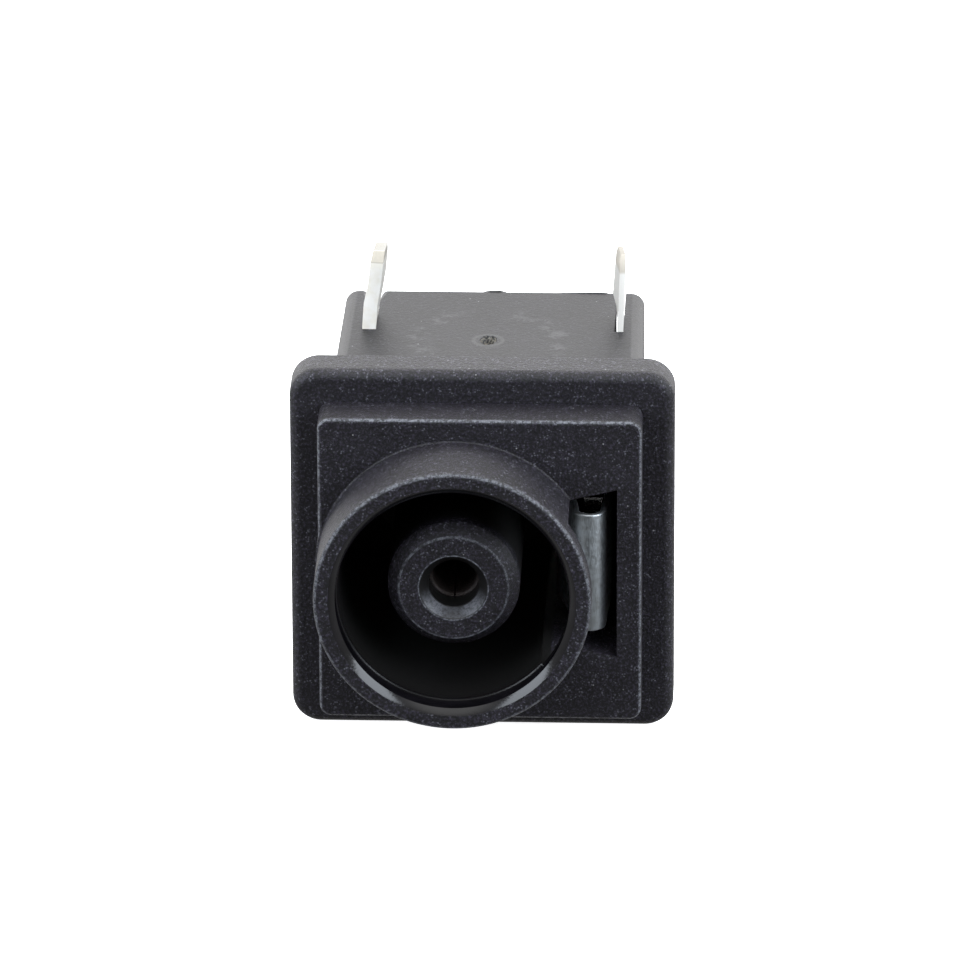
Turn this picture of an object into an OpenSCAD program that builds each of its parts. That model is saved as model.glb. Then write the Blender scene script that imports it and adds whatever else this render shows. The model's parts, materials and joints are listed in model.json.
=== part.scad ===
// Right-angle dc barrel jack for a circuit board, with a panel flange and two solder tails.
// Millimetres. The plug axis is the Y axis, and the plug goes in along +Y.
// The origin is on the plug axis, in the plane of the flange's front face.
// +Z is the board side, where the solder tails stand up. The spring channel is on the +X side.

/* [Flange] */
// Width of the panel flange, along X
flange_w = 9.4; // [8.6:0.05:10.5]
// Height of the panel flange, along Z
flange_h = 9.4; // [8.9:0.05:10.5]
// Thickness of the panel flange, along Y
flange_t = 1.1; // [0.8:0.05:1.6]
// Radius of the flange's four corners
flange_corner_r = 0.7; // [0.5:0.05:1.2]
// Rounding of the flange's front edge
flange_edge_r = 0.25; // [0.1:0.05:0.4]
// How far the flange's middle lies to the right of the plug axis
flange_shift_x = 0.62; // [0.3:0.02:0.9]
// How far the flange's middle lies above the plug axis
flange_shift_z = 0.06; // [0:0.02:0.2]

/* [Boss] */
// Width of the square boss that fills the panel cut-out, along X
boss_w = 7.9; // [7.7:0.05:8.2]
// Height of the square boss, along Z
boss_h = 7.92; // [7.6:0.04:8.2]
// How far the boss stands out of the flange
boss_t = 1.1; // [0.6:0.05:1.6]
// Radius of the boss's four corners
boss_corner_r = 0.3; // [0.2:0.05:0.6]
// Rounding of the boss's front edge
boss_edge_r = 0.1; // [0.05:0.01:0.15]
// How far the boss's middle lies to the right of the plug axis
boss_shift_x = 0.6; // [0.5:0.02:0.7]

/* [Body] */
// Width of the body just behind the flange
body_w = 7.7; // [7.5:0.05:8]
// How far the body's middle lies to the right of the plug axis
body_shift_x = 0.68; // [0.6:0.02:0.75]
// Height of the board face above the plug axis
board_face_z = 3.88; // [3.8:0.02:4]
// Depth of the body's plain face below the plug axis
body_drop = 3.88; // [3.6:0.02:4]
// Distance from the flange's front face to the rear of the body
body_reach = 7.53; // [7.4:0.01:8]
// Draft of each side of the body, in degrees
body_draft = 0.8; // [0.4:0.1:1.2]
// Rounding of the body's four long edges
body_edge_r = 0.33; // [0.15:0.01:0.5]

/* [Barrel] */
// Outer diameter of the barrel
barrel_d = 6.76; // [6.5:0.02:7]
// How far the barrel stands out of the boss
barrel_reach = 2; // [1.5:0.05:3]
// Rounding of the rim's outer edge
rim_edge_r = 0.12; // [0.05:0.01:0.15]
// Diameter of the plug bore
bore_d = 5.7; // [5.6:0.02:5.8]
// Diameter of the bore's flared mouth
bore_mouth_d = 6.03; // [5.9:0.01:6.1]
// Depth of the flare in the bore's mouth
bore_mouth_depth = 0.125; // [0.05:0.005:0.3]
// Diameter of the bore behind its step
bore_inner_d = 5.64; // [5.56:0.02:5.68]
// Depth of the bore's step behind the rim
bore_step_depth = 0.575; // [0.4:0.005:0.7]
// Depth of the bore behind the rim
bore_depth = 9.5; // [9:0.05:9.6]

/* [Post] */
// Outer diameter of the insulated post
post_d = 3.22; // [3.1:0.02:3.3]
// Diameter of the post's flat front face
post_face_d = 2.67; // [2.4:0.01:2.8]
// How far the post's front face lies behind the rim
post_recess = 0.9; // [0.6:0.02:1.2]
// Length of the chamfer around the post's front face
post_chamfer = 0.345; // [0.2:0.005:0.5]
// Diameter of the hole that guides the centre pin
pin_hole_d = 1.23; // [1.16:0.01:1.3]
// Diameter of the countersink at the mouth of the pin hole
countersink_d = 1.67; // [1.5:0.01:1.9]
// Depth of the countersink
countersink_depth = 0.315; // [0.2:0.005:0.4]
// Length of the pin hole between the countersink and the pin socket
pin_hole_land = 0.6; // [0.4:0.05:1]

/* [Spring channel] */
// Distance from the plug axis to the outer wall of the channel
channel_wall_x = 3.95; // [3.9:0.01:4]
// Height of the channel at its outer wall
channel_h = 4.44; // [4.2:0.02:4.6]
// Flare of the channel's upper and lower walls, in degrees
channel_flare = 13.5; // [10:0.5:16]
// How far the channel's middle lies below the plug axis
channel_drop = 0.05; // [0:0.01:0.1]
// Play around the end plate in the passage through the rear wall
passage_play = 0.05; // [0.03:0.01:0.15]
// Thickness of the rim ring left in front of the channel
rim_ring_t = 0.57; // [0.45:0.01:0.7]

/* [Tail slots] */
// Distance from the flange's front face to the front end of both tail slots
slot_front_y = 4.92; // [4.8:0.02:5.2]
// Width of the slot for the centre contact's tail
centre_slot_w = 0.36; // [0.34:0.01:0.45]
// Width of the slot for the sleeve spring's tail
sleeve_slot_w = 0.22; // [0.19:0.01:0.3]
// Height above the plug axis of the floor of the centre contact's slot
centre_slot_floor_z = 2.2; // [2.1:0.02:2.6]
// Width and depth of the flare at the mouth of each slot, in the rear face
slot_flare = 0.18; // [0.1:0.01:0.24]
// Distance in front of the rear face at which the flare starts
slot_flare_reach = 1.2; // [0.8:0.05:1.5]
// Depth of the recess in the rear face for the centre contact's plate
rear_recess_depth = 0.45; // [0.4:0.01:0.55]

/* [Centre contact] */
// Thickness of the centre contact's sheet
centre_stock_t = 0.3; // [0.25:0.01:0.32]
// Bore of the pin socket
socket_bore_d = 1.1; // [1.04:0.01:1.14]
// Width of the seam along the rolled pin socket
socket_seam_w = 0.12; // [0.08:0.01:0.2]
// Play between the pin socket and its seat in the post, on each side
socket_play = 0.02; // [0.01:0.005:0.05]
// Distance from the plug axis to the middle of the centre contact's tail
centre_tail_x = 2.36; // [2.3:0.01:2.45]
// Width of both tails, along Y
tail_w = 1.07; // [0.9:0.01:1.2]
// Height of both tail tips above the board face
tail_reach = 2; // [1.8:0.05:3.2]
// Sideways lean of the centre contact's tail, in degrees
centre_tail_lean = 8; // [0:0.5:10]
// Outer radius of the fold between the rear plate and the side leg
fold_outer_r = 0.5; // [0.4:0.05:0.6]

/* [Sleeve spring] */
// Thickness of the sleeve spring's strip
spring_stock_t = 0.15; // [0.12:0.01:0.17]
// Height of the sleeve spring's strip
spring_h = 3.1; // [2.9:0.05:3.2]
// Outer radius of the hairpin bend at the front
hairpin_outer_r = 0.41; // [0.36:0.01:0.44]
// Distance from the plug axis to the outer face of the hairpin bend
hairpin_outer_x = 3.68; // [3.6:0.01:3.72]
// Distance from the plug axis to the inner leg's contact point
contact_x = 2.5; // [2.4:0.01:2.6]
// Distance from the flange's front face to the contact point
contact_y = 1.6; // [1.2:0.05:2.5]
// Distance from the flange's front face to the free end of the inner leg
free_end_y = 4; // [3.2:0.05:4.5]
// Sideways lean of the sleeve spring's tail, in degrees
sleeve_tail_lean = 2.8; // [0:0.2:5]
// Width of the end plate that is folded off the outer leg behind the plug bore
end_plate_w = 1.6; // [1.2:0.05:1.8]
// Distance from the end plate's outer face to the rear of the body
end_plate_inset = 0.15; // [0.05:0.01:0.3]

/* [Gate marks] */
// Diameter of the small pit in the board face
pit_d = 0.45; // [0.3:0.05:0.7]
// Depth of the pit
pit_depth = 0.15; // [0.05:0.01:0.3]
// Distance from the flange's front face to the pit
pit_y = 4.27; // [3.6:0.01:5]
// Diameter of the gate stub on the rear face
gate_d = 0.6; // [0.4:0.05:0.8]
// How far the gate stub stands out of the rear face
gate_t = 0.08; // [0.04:0.01:0.12]

/* [Hidden] */
$fn = 64;
// Overshoot of every cut past the face it starts from
cut = 0.5;
boss_front = boss_t;
rim_front = boss_t + barrel_reach;
post_front = rim_front - post_recess;
bore_end = rim_front - bore_depth;
countersink_end = post_front - countersink_depth;
socket_front = countersink_end - pin_hole_land;
socket_d = socket_bore_d + 2 * centre_stock_t;
socket_seat_d = socket_d + 2 * socket_play;
recess_floor_y = body_reach - rear_recess_depth;
plate_back_y = recess_floor_y + centre_stock_t;
channel_front_y = -(rim_front - rim_ring_t);
channel_flare_slope = tan(channel_flare);
// The channel reaches past the wall of the bore, so that the spring can touch the plug
channel_inner_x = 2;
channel_inner_h = channel_h - 2 * (channel_wall_x - channel_inner_x) * channel_flare_slope;
centre_tail_left = -centre_tail_x - centre_stock_t / 2;
sleeve_tail_x = channel_wall_x - spring_stock_t / 2;
tail_tip_z = board_face_z + tail_reach;
// Heights of the plate, the side leg and the bends of both contacts
plate_r = 0.95;
plate_play = 0.06;
riser_w = 1.2;
leg_bottom_z = 2.35;
leg_top_z = 3.45;
bend_z = 3.95;
tip_w = 0.67;
tip_front_rise = 0.17;
tip_front_setback = 0.1;
tip_rear_rise = 0.45;
hairpin_mid_r = hairpin_outer_r - spring_stock_t / 2;
hairpin_x = hairpin_outer_x - hairpin_outer_r;
hairpin_y = -boss_t + hairpin_outer_r;
outer_leg_x = hairpin_x + hairpin_mid_r;
inner_leg_x = hairpin_x - hairpin_mid_r;
leg_straight_y = 4;
end_plate_y = body_reach - end_plate_inset;
end_fold_r = 0.35;

// Turns a drawing in X and depth into a solid that runs along the plug axis,
// with +height of the revolve pointing out of the jack
module along_plug() {
  rotate([90, 0, 0])
    children();
}

module rounded_square(width, height, radius) {
  union() {
    square([width - 2 * radius, height], center = true);
    square([width, height - 2 * radius], center = true);
    for (side = [-1, 1]) {
      for (level = [-1, 1]) {
        translate([side * (width / 2 - radius), level * (height / 2 - radius)])
          circle(r = radius);
      }
    }
  }
}

// A plate with rounded corners and a rounded front edge, lying on the plane of height 0
module soft_plate(width, height, thickness, corner_r, edge_r) {
  half_w = width / 2 - corner_r;
  half_h = height / 2 - corner_r;
  inner_r = corner_r - edge_r;
  level = thickness - edge_r;
  linear_extrude(height = level)
    rounded_square(width, height, corner_r);
  linear_extrude(height = thickness)
    rounded_square(width - 2 * edge_r, height - 2 * edge_r, inner_r);
  for (side = [-1, 1]) {
    translate([side * (width / 2 - edge_r), 0, level])
      rotate([90, 0, 0])
        cylinder(h = 2 * half_h, r = edge_r, center = true);
    translate([0, side * (height / 2 - edge_r), level])
      rotate([0, 90, 0])
        cylinder(h = 2 * half_w, r = edge_r, center = true);
    for (end = [-1, 1]) {
      translate([side * half_w, end * half_h, level])
        rotate_extrude()
          intersection() {
            translate([inner_r, 0])
              circle(r = edge_r);
            translate([0, -edge_r])
              square([corner_r, 2 * edge_r]);
          }
    }
  }
}

// One side of the body: a long bar with rounded edges, turned by the draft about the flange
module drafted_bar(side) {
  bar_w = 2 * body_w;
  bar_h = board_face_z + body_drop;
  translate([side * body_w / 2, 0, (board_face_z - body_drop) / 2])
    rotate([0, 0, side * body_draft])
      translate([-side * bar_w / 2, 0, 0])
        rotate([-90, 0, 0])
          translate([0, 0, -cut])
            linear_extrude(height = body_reach + 2 * cut)
              rounded_square(bar_w, bar_h, body_edge_r);
}

module body_block() {
  intersection() {
    translate([body_shift_x, 0, 0])
      drafted_bar(-1);
    translate([body_shift_x, 0, 0])
      drafted_bar(1);
    translate([-body_w, flange_t / 2, -body_w])
      cube([3 * body_w, body_reach - flange_t / 2, 2 * body_w]);
  }
}

module barrel_outside() {
  along_plug()
    rotate_extrude()
      union() {
        square([barrel_d / 2, rim_front - rim_edge_r]);
        square([barrel_d / 2 - rim_edge_r, rim_front]);
        translate([barrel_d / 2 - rim_edge_r, rim_front - rim_edge_r])
          circle(r = rim_edge_r);
      }
}

module plug_bore() {
  along_plug()
    rotate_extrude()
      polygon([
        [0, bore_end],
        [bore_inner_d / 2, bore_end],
        [bore_inner_d / 2, rim_front - bore_step_depth],
        [bore_d / 2, rim_front - bore_step_depth],
        [bore_d / 2, rim_front - bore_mouth_depth],
        [bore_mouth_d / 2, rim_front],
        [bore_mouth_d / 2, rim_front + cut],
        [0, rim_front + cut],
      ]);
}

module post() {
  along_plug()
    rotate_extrude()
      polygon([
        [0, bore_end - cut],
        [post_d / 2, bore_end - cut],
        [post_d / 2, post_front - post_chamfer],
        [post_face_d / 2, post_front],
        [0, post_front],
      ]);
}

module pin_passage() {
  along_plug()
    rotate_extrude()
      polygon([
        [0, -body_reach - cut],
        [socket_seat_d / 2, -body_reach - cut],
        [socket_seat_d / 2, socket_front],
        [pin_hole_d / 2, socket_front],
        [pin_hole_d / 2, countersink_end],
        [countersink_d / 2, post_front],
        [countersink_d / 2, post_front + cut],
        [0, post_front + cut],
      ]);
}

// The flared channel ends level with the bottom of the plug bore, and a lower passage
// leads on through the rear wall
module spring_channel() {
  passage_h = spring_h + 2 * passage_play;
  passage_w = end_plate_w + passage_play;
  translate([0, channel_front_y, -channel_drop])
    rotate([-90, 0, 0])
      linear_extrude(height = -bore_end - channel_front_y)
        polygon([
          [channel_inner_x, -channel_inner_h / 2],
          [channel_wall_x, -channel_h / 2],
          [channel_wall_x, channel_h / 2],
          [channel_inner_x, channel_inner_h / 2],
        ]);
  translate([channel_wall_x - passage_w, -bore_end - cut, -channel_drop - passage_h / 2])
    cube([passage_w, body_reach + bore_end + 2 * cut, passage_h]);
}

module tail_slots() {
  slot_length = body_reach - slot_front_y + cut;
  translate([-centre_tail_x - centre_slot_w / 2, slot_front_y, centre_slot_floor_z])
    cube([centre_slot_w, slot_length, board_face_z]);
  translate([channel_wall_x - sleeve_slot_w, slot_front_y, 0])
    cube([sleeve_slot_w, slot_length, tail_tip_z]);
}

// Widens the top of a slot towards its mouth in the rear face
module slot_mouth(middle_x, slot_w) {
  grow = 1 + cut / slot_flare_reach;
  reach = slot_flare_reach + cut;
  wide = grow * (slot_w / 2 + 2 * slot_flare);
  narrow = grow * slot_w / 2;
  rise = grow * slot_flare;
  translate([middle_x, body_reach - slot_flare_reach, board_face_z])
    polyhedron(
      points = [
        [0, 0, 0],
        [-wide, reach, rise],
        [wide, reach, rise],
        [narrow, reach, -rise],
        [-narrow, reach, -rise],
      ],
      faces = [[0, 1, 2], [0, 2, 3], [0, 3, 4], [0, 4, 1], [4, 3, 2, 1]]
    );
}

// The recess in the rear face that takes the centre contact's plate and riser
module rear_recess() {
  recess_r = plate_r + plate_play;
  recess_left = -centre_tail_x - centre_slot_w / 2;
  recess_depth = rear_recess_depth + cut;
  translate([0, recess_floor_y, 0])
    rotate([-90, 0, 0])
      cylinder(h = recess_depth, r = recess_r);
  translate([recess_left, recess_floor_y, -recess_r])
    cube([-recess_left, recess_depth, 2 * recess_r]);
  translate([recess_left, recess_floor_y, -recess_r])
    cube([riser_w + 2 * plate_play, recess_depth, recess_r + leg_top_z + plate_play]);
  translate([recess_left, plate_back_y - fold_outer_r - plate_play, centre_slot_floor_z])
    cube([fold_outer_r + plate_play, fold_outer_r + cut, leg_top_z + plate_play - centre_slot_floor_z]);
}

module gate_pit() {
  translate([flange_shift_x, pit_y, board_face_z - pit_depth])
    cylinder(h = pit_depth + cut, d = pit_d);
}

module gate_stub() {
  translate([flange_shift_x, body_reach - gate_t, board_face_z - gate_d / 2 - 0.02])
    rotate([-90, 0, 0])
      cylinder(h = 2 * gate_t, d = gate_d);
}

module housing() {
  color([0.05, 0.05, 0.055])
    difference() {
      union() {
        difference() {
          union() {
            translate([flange_shift_x, flange_t, flange_shift_z])
              along_plug()
                soft_plate(flange_w, flange_h, flange_t, flange_corner_r, flange_edge_r);
            translate([boss_shift_x, flange_t / 2, 0])
              along_plug()
                soft_plate(boss_w, boss_h, boss_t + flange_t / 2, boss_corner_r, boss_edge_r);
            body_block();
            barrel_outside();
            gate_stub();
          }
          plug_bore();
          spring_channel();
          gate_pit();
        }
        post();
      }
      pin_passage();
      tail_slots();
      slot_mouth(-centre_tail_x, centre_slot_w);
      slot_mouth(channel_wall_x - sleeve_slot_w / 2, sleeve_slot_w);
      rear_recess();
    }
}

// The tail's outline seen from the side, from its bend up to its bevelled tip
module tail_outline(bottom_z) {
  polygon([
    [0, bottom_z],
    [tail_w, bottom_z],
    [tail_w, tail_tip_z - tip_rear_rise],
    [tip_front_setback + tip_w, tail_tip_z],
    [tip_front_setback, tail_tip_z],
    [0, tail_tip_z - tip_front_rise],
  ]);
}

// Stands the tail's outline up at the front end of its slot, with its left face at x = 0
module upright_tail(thickness, bottom_z) {
  translate([0, slot_front_y, 0])
    rotate([90, 0, 90])
      linear_extrude(height = thickness)
        tail_outline(bottom_z);
}

// Seen from above: the rear plate's end, the fold and the side leg of the centre contact
module folded_strap() {
  fold_x = centre_tail_left + fold_outer_r;
  fold_y = plate_back_y - fold_outer_r;
  translate([fold_x, recess_floor_y])
    square([riser_w - fold_outer_r, centre_stock_t]);
  translate([centre_tail_left, slot_front_y])
    square([centre_stock_t, fold_y - slot_front_y]);
  intersection() {
    translate([fold_x, fold_y])
      difference() {
        circle(r = fold_outer_r);
        circle(r = fold_outer_r - centre_stock_t);
      }
    translate([centre_tail_left, fold_y])
      square([fold_outer_r, fold_outer_r]);
  }
}

module centre_contact() {
  riser_left = centre_tail_left + fold_outer_r;
  color([0.85, 0.83, 0.78])
    difference() {
      union() {
        along_plug()
          translate([0, 0, -plate_back_y])
            cylinder(h = plate_back_y + socket_front, d = socket_d);
        translate([0, recess_floor_y, 0])
          rotate([-90, 0, 0])
            cylinder(h = centre_stock_t, r = plate_r);
        translate([riser_left, recess_floor_y, -plate_r])
          cube([-riser_left, centre_stock_t, 2 * plate_r]);
        translate([riser_left, recess_floor_y, -plate_r])
          cube([riser_w - fold_outer_r, centre_stock_t, plate_r + leg_top_z]);
        translate([0, 0, leg_bottom_z])
          linear_extrude(height = leg_top_z - leg_bottom_z)
            folded_strap();
        translate([centre_tail_left, slot_front_y, leg_bottom_z])
          cube([centre_stock_t, tail_w, bend_z - leg_bottom_z]);
        translate([-centre_tail_x, slot_front_y, bend_z])
          rotate([-90, 0, 0])
            cylinder(h = tail_w, d = centre_stock_t);
        translate([-centre_tail_x, 0, bend_z])
          rotate([0, centre_tail_lean, 0])
            translate([-centre_stock_t / 2, 0, -bend_z])
              upright_tail(centre_stock_t, bend_z);
      }
      along_plug()
        translate([0, 0, -recess_floor_y])
          cylinder(h = recess_floor_y + socket_front + cut, d = socket_bore_d);
      translate([-socket_seam_w / 2, -socket_front - cut, -socket_d])
        cube([socket_seam_w, recess_floor_y + socket_front + cut, socket_d]);
    }
}

// One straight run of the spring strip seen from above, with round ends that meet its neighbours
module strip_run(from, to) {
  run = to - from;
  translate(from)
    rotate([0, 0, atan2(run[1], run[0])])
      union() {
        translate([0, -spring_stock_t / 2])
          square([norm(run), spring_stock_t]);
        circle(d = spring_stock_t);
        translate([norm(run), 0])
          circle(d = spring_stock_t);
      }
}

module hairpin() {
  intersection() {
    difference() {
      circle(r = hairpin_outer_r);
      circle(r = hairpin_outer_r - spring_stock_t);
    }
    translate([-hairpin_outer_r, -hairpin_outer_r])
      square([2 * hairpin_outer_r, hairpin_outer_r]);
  }
}

// Seen from above: the fold at the rear of the outer leg, and the end plate
module folded_end() {
  fold_x = channel_wall_x - end_fold_r;
  fold_y = end_plate_y - end_fold_r;
  intersection() {
    translate([fold_x, fold_y])
      difference() {
        circle(r = end_fold_r);
        circle(r = end_fold_r - spring_stock_t);
      }
    translate([fold_x, fold_y])
      square([end_fold_r, end_fold_r]);
  }
  translate([channel_wall_x - end_plate_w, end_plate_y - spring_stock_t])
    square([end_plate_w - end_fold_r, spring_stock_t]);
}

module sleeve_spring() {
  color([0.85, 0.83, 0.78]) {
    translate([0, 0, -spring_h / 2 - channel_drop])
      linear_extrude(height = spring_h)
        union() {
          translate([hairpin_x, hairpin_y])
            hairpin();
          strip_run([outer_leg_x, hairpin_y], [sleeve_tail_x, leg_straight_y]);
          strip_run([sleeve_tail_x, leg_straight_y], [sleeve_tail_x, end_plate_y - end_fold_r]);
          folded_end();
          strip_run([inner_leg_x, hairpin_y], [contact_x + 0.06, contact_y - 0.5]);
          strip_run([contact_x + 0.06, contact_y - 0.5], [contact_x, contact_y]);
          strip_run([contact_x, contact_y], [contact_x + 0.06, contact_y + 0.5]);
          strip_run([contact_x + 0.06, contact_y + 0.5], [inner_leg_x, free_end_y]);
        }
    translate([sleeve_tail_x - spring_stock_t / 2, slot_front_y, 0])
      cube([spring_stock_t, tail_w, bend_z]);
    translate([sleeve_tail_x, slot_front_y, bend_z])
      rotate([-90, 0, 0])
        cylinder(h = tail_w, d = spring_stock_t);
    translate([sleeve_tail_x, 0, bend_z])
      rotate([0, sleeve_tail_lean, 0])
        translate([-spring_stock_t / 2, 0, -bend_z])
          upright_tail(spring_stock_t, bend_z);
  }
}

housing();
centre_contact();
sleeve_spring();
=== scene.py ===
"""Visual model of a right-angle dc barrel jack: moulded housing, pin contact and sleeve spring.

Pieces are shaped in millimetres, in the part's own frame, and brought to metres when they are
finished. The plug axis is the Y axis, the plug goes in along +Y and the board side is +Z.
"""

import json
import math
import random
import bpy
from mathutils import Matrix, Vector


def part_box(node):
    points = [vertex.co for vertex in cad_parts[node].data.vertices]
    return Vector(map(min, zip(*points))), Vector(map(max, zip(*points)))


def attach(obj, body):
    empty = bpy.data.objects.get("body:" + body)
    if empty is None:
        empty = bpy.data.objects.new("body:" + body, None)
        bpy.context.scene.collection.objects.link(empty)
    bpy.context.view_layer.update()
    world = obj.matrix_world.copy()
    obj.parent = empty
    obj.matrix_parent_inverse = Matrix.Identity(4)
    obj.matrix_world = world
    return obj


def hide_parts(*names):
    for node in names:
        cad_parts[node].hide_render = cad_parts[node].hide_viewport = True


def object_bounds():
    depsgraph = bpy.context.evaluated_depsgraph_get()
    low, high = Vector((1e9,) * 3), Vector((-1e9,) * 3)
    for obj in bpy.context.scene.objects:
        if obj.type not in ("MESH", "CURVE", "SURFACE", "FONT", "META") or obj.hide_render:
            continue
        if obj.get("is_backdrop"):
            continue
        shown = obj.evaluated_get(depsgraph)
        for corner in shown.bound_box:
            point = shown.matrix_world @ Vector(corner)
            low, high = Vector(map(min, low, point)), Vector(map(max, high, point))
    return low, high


bl_info = {
    "name": "DC Barrel Jack",
    "version": (1, 0, 0),
    "blender": (4, 5, 0),
    "location": "View3D > Sidebar > Jack",
    "description": "Builds a board-mounted dc barrel jack piece by piece",
    "category": "Object",
}

from types import SimpleNamespace

import bmesh
import bpy
from mathutils import Matrix, Vector

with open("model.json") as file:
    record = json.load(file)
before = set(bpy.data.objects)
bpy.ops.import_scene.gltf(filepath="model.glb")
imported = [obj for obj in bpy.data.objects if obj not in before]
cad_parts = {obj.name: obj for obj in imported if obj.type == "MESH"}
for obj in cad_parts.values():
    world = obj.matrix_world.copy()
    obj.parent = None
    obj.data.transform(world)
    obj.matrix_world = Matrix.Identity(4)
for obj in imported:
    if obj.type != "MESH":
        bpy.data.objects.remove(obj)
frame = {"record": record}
CAD_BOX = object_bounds()

MM = 0.001
CUT = 0.5  # how far a cutting shape stands out of the piece that it cuts
CORNER_STEPS = 10
EDGE_STEPS = 6
SMALL_EDGE_STEPS = 4
ROUND_STEPS = 192
SMALL_ROUND_STEPS = 96
HAIRPIN_STEPS = 16
LEG_STEPS = 14
SHARP = math.radians(35)  # sharper edges are softened
SMOOTH = math.radians(32)  # flatter edges are shaded smooth
FLAT = math.radians(0.2)  # flatter edges are dissolved
PIT_Y = 4.27  # middle of the pit in the board face
END_FOLD = 0.35  # outer radius of the fold between the spring and its end plate
STRIP_ROUNDING = 0.05
CONTACT_EDGE = 0.02  # softening of the pin contact's edges
SPRING_EDGE = 0.015
SHADED_TIN = (0.12, 0.115, 0.105)

# Fields of the tent: a direction out of the jack, and the cosines between which the field fades in.
OPENING = ((0.0, -0.92, -0.39), 0.25, 0.8)
BACKDROP = ((0.0, 0.80, 0.60), 0.3, 0.85)
OVERHEAD = ((0.0, -0.36, 0.93), 0.8, 0.98)
LAMP_TINT = (0.84, 0.91, 1.0)
LAMP_PLACE = (250, -110, 140)
LAMP_SIZE = (340, 150)


def length(name, description, default_mm):
    """A size of the jack, given in millimetres and kept in metres."""
    return bpy.props.FloatProperty(
        name=name,
        description=description,
        default=default_mm * MM,
        min=0.0,
        precision=5,
        unit="LENGTH",
        subtype="DISTANCE",
    )


def degrees(name, description, default):
    """An angle, given in degrees and kept in radians."""
    return bpy.props.FloatProperty(
        name=name, description=description, default=math.radians(default), subtype="ANGLE"
    )


def brightness(name, description, default, unit="NONE"):
    """The strength of a light."""
    return bpy.props.FloatProperty(
        name=name, description=description, default=default, min=0.0, unit=unit
    )


def tint(name, description, default):
    """A colour of one of the jack's finishes."""
    return bpy.props.FloatVectorProperty(
        name=name, description=description, default=default, min=0.0, max=1.0, size=3, subtype="COLOR"
    )


def in_millimetres(settings):
    """The lengths of a settings group as plain numbers in millimetres."""
    sizes = {}
    for key in settings.bl_rna.properties.keys():
        if settings.bl_rna.properties[key].unit == "LENGTH":
            sizes[key] = getattr(settings, key) / MM
    return SimpleNamespace(**sizes)


def mount(name):
    """A mount of the part's record."""
    return next(m for m in frame["record"]["mounts"] if m["name"] == name)


housing_low, housing_high = (Vector(corner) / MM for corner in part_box("housing"))
FLANGE_MID_X = (housing_low.x + housing_high.x) / 2
FLANGE_MID_Z = (housing_low.z + housing_high.z) / 2
RIM_Y = housing_low.y
BOARD_FACE_Z = mount("board_seat")["pos_m"][2] / MM


class JackHousingSettings(bpy.types.PropertyGroup):
    """Sizes and colour of the black moulding."""

    flange_width: length("Flange width", "Width of the panel flange", housing_high.x - housing_low.x)
    flange_height: length("Flange height", "Height of the panel flange", housing_high.z - housing_low.z)
    flange_depth: length("Flange depth", "Thickness of the panel flange", 1.1)
    flange_corner: length("Flange corner", "Radius of the flange's corners", 0.7)
    flange_round: length("Flange rounding", "Rounding of the flange's front edge", 0.25)
    boss_width: length("Boss width", "Width of the square boss", 7.9)
    boss_height: length("Boss height", "Height of the square boss", 7.92)
    boss_depth: length("Boss depth", "How far the boss stands out of the flange", 1.1)
    boss_corner: length("Boss corner", "Radius of the boss's corners", 0.3)
    boss_round: length("Boss rounding", "Rounding of the boss's front edge", 0.11)
    boss_shift: length("Boss shift", "Distance of the boss's middle from the plug axis", 0.6)
    body_width: length("Body width", "Width of the body behind the flange", 7.7)
    body_shift: length("Body shift", "Distance of the body's middle from the plug axis", 0.68)
    body_drop: length("Body drop", "Depth of the body below the plug axis", 3.88)
    body_rear: length("Body rear", "Distance from the flange's front to the rear face", 7.53)
    body_round: length("Body rounding", "Rounding of the body's long edges", 0.33)
    rear_round: length("Rear rounding", "Rounding of the body's rear edges", 0.07)
    barrel_radius: length("Barrel radius", "Outer radius of the barrel", 3.38)
    rim_round: length("Rim rounding", "Rounding of the rim's outer edge", 0.12)
    root_fillet: length("Root fillet", "Fillet where the barrel meets the boss", 0.05)
    bore_radius: length("Bore radius", "Radius of the plug bore", 2.85)
    mouth_radius: length("Mouth radius", "Radius of the bore's flared mouth", 3.015)
    mouth_depth: length("Mouth depth", "Depth of the flare", 0.125)
    inner_radius: length("Inner radius", "Radius of the bore behind its step", 2.82)
    step_depth: length("Step depth", "Depth of the bore's step behind the rim", 0.575)
    bore_depth: length("Bore depth", "Depth of the bore behind the rim", 9.5)
    post_radius: length("Post radius", "Outer radius of the post", 1.61)
    post_face_radius: length("Post face", "Radius of the post's front face", 1.335)
    post_recess: length("Post recess", "Distance of the post's face behind the rim", 0.9)
    post_chamfer: length("Post chamfer", "Length of the post's chamfer", 0.345)
    pin_hole_radius: length("Pin hole", "Radius of the pin hole", 0.615)
    sink_radius: length("Countersink", "Radius of the countersink's mouth", 0.835)
    sink_depth: length("Countersink depth", "Depth of the countersink", 0.315)
    pin_hole_land: length("Pin hole land", "Length of the pin hole behind the countersink", 0.6)
    seat_radius: length("Socket seat", "Radius of the seat for the pin socket", 0.87)
    channel_wall: length("Channel wall", "Distance of the channel's outer wall", 3.95)
    channel_height: length("Channel height", "Height of the channel at its outer wall", 4.44)
    channel_drop: length("Channel drop", "How far the channel's middle lies below the axis", 0.05)
    channel_inner: length("Channel inner", "Distance of the channel's inner side", 2.0)
    rim_ring: length("Rim ring", "Thickness of the rim in front of the channel", 0.57)
    edge_break: length("Edge break", "Softening of the cut edges", 0.035)
    plastic: tint("Plastic", "Colour of the moulding", (0.0045, 0.0041, 0.0053))


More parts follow.
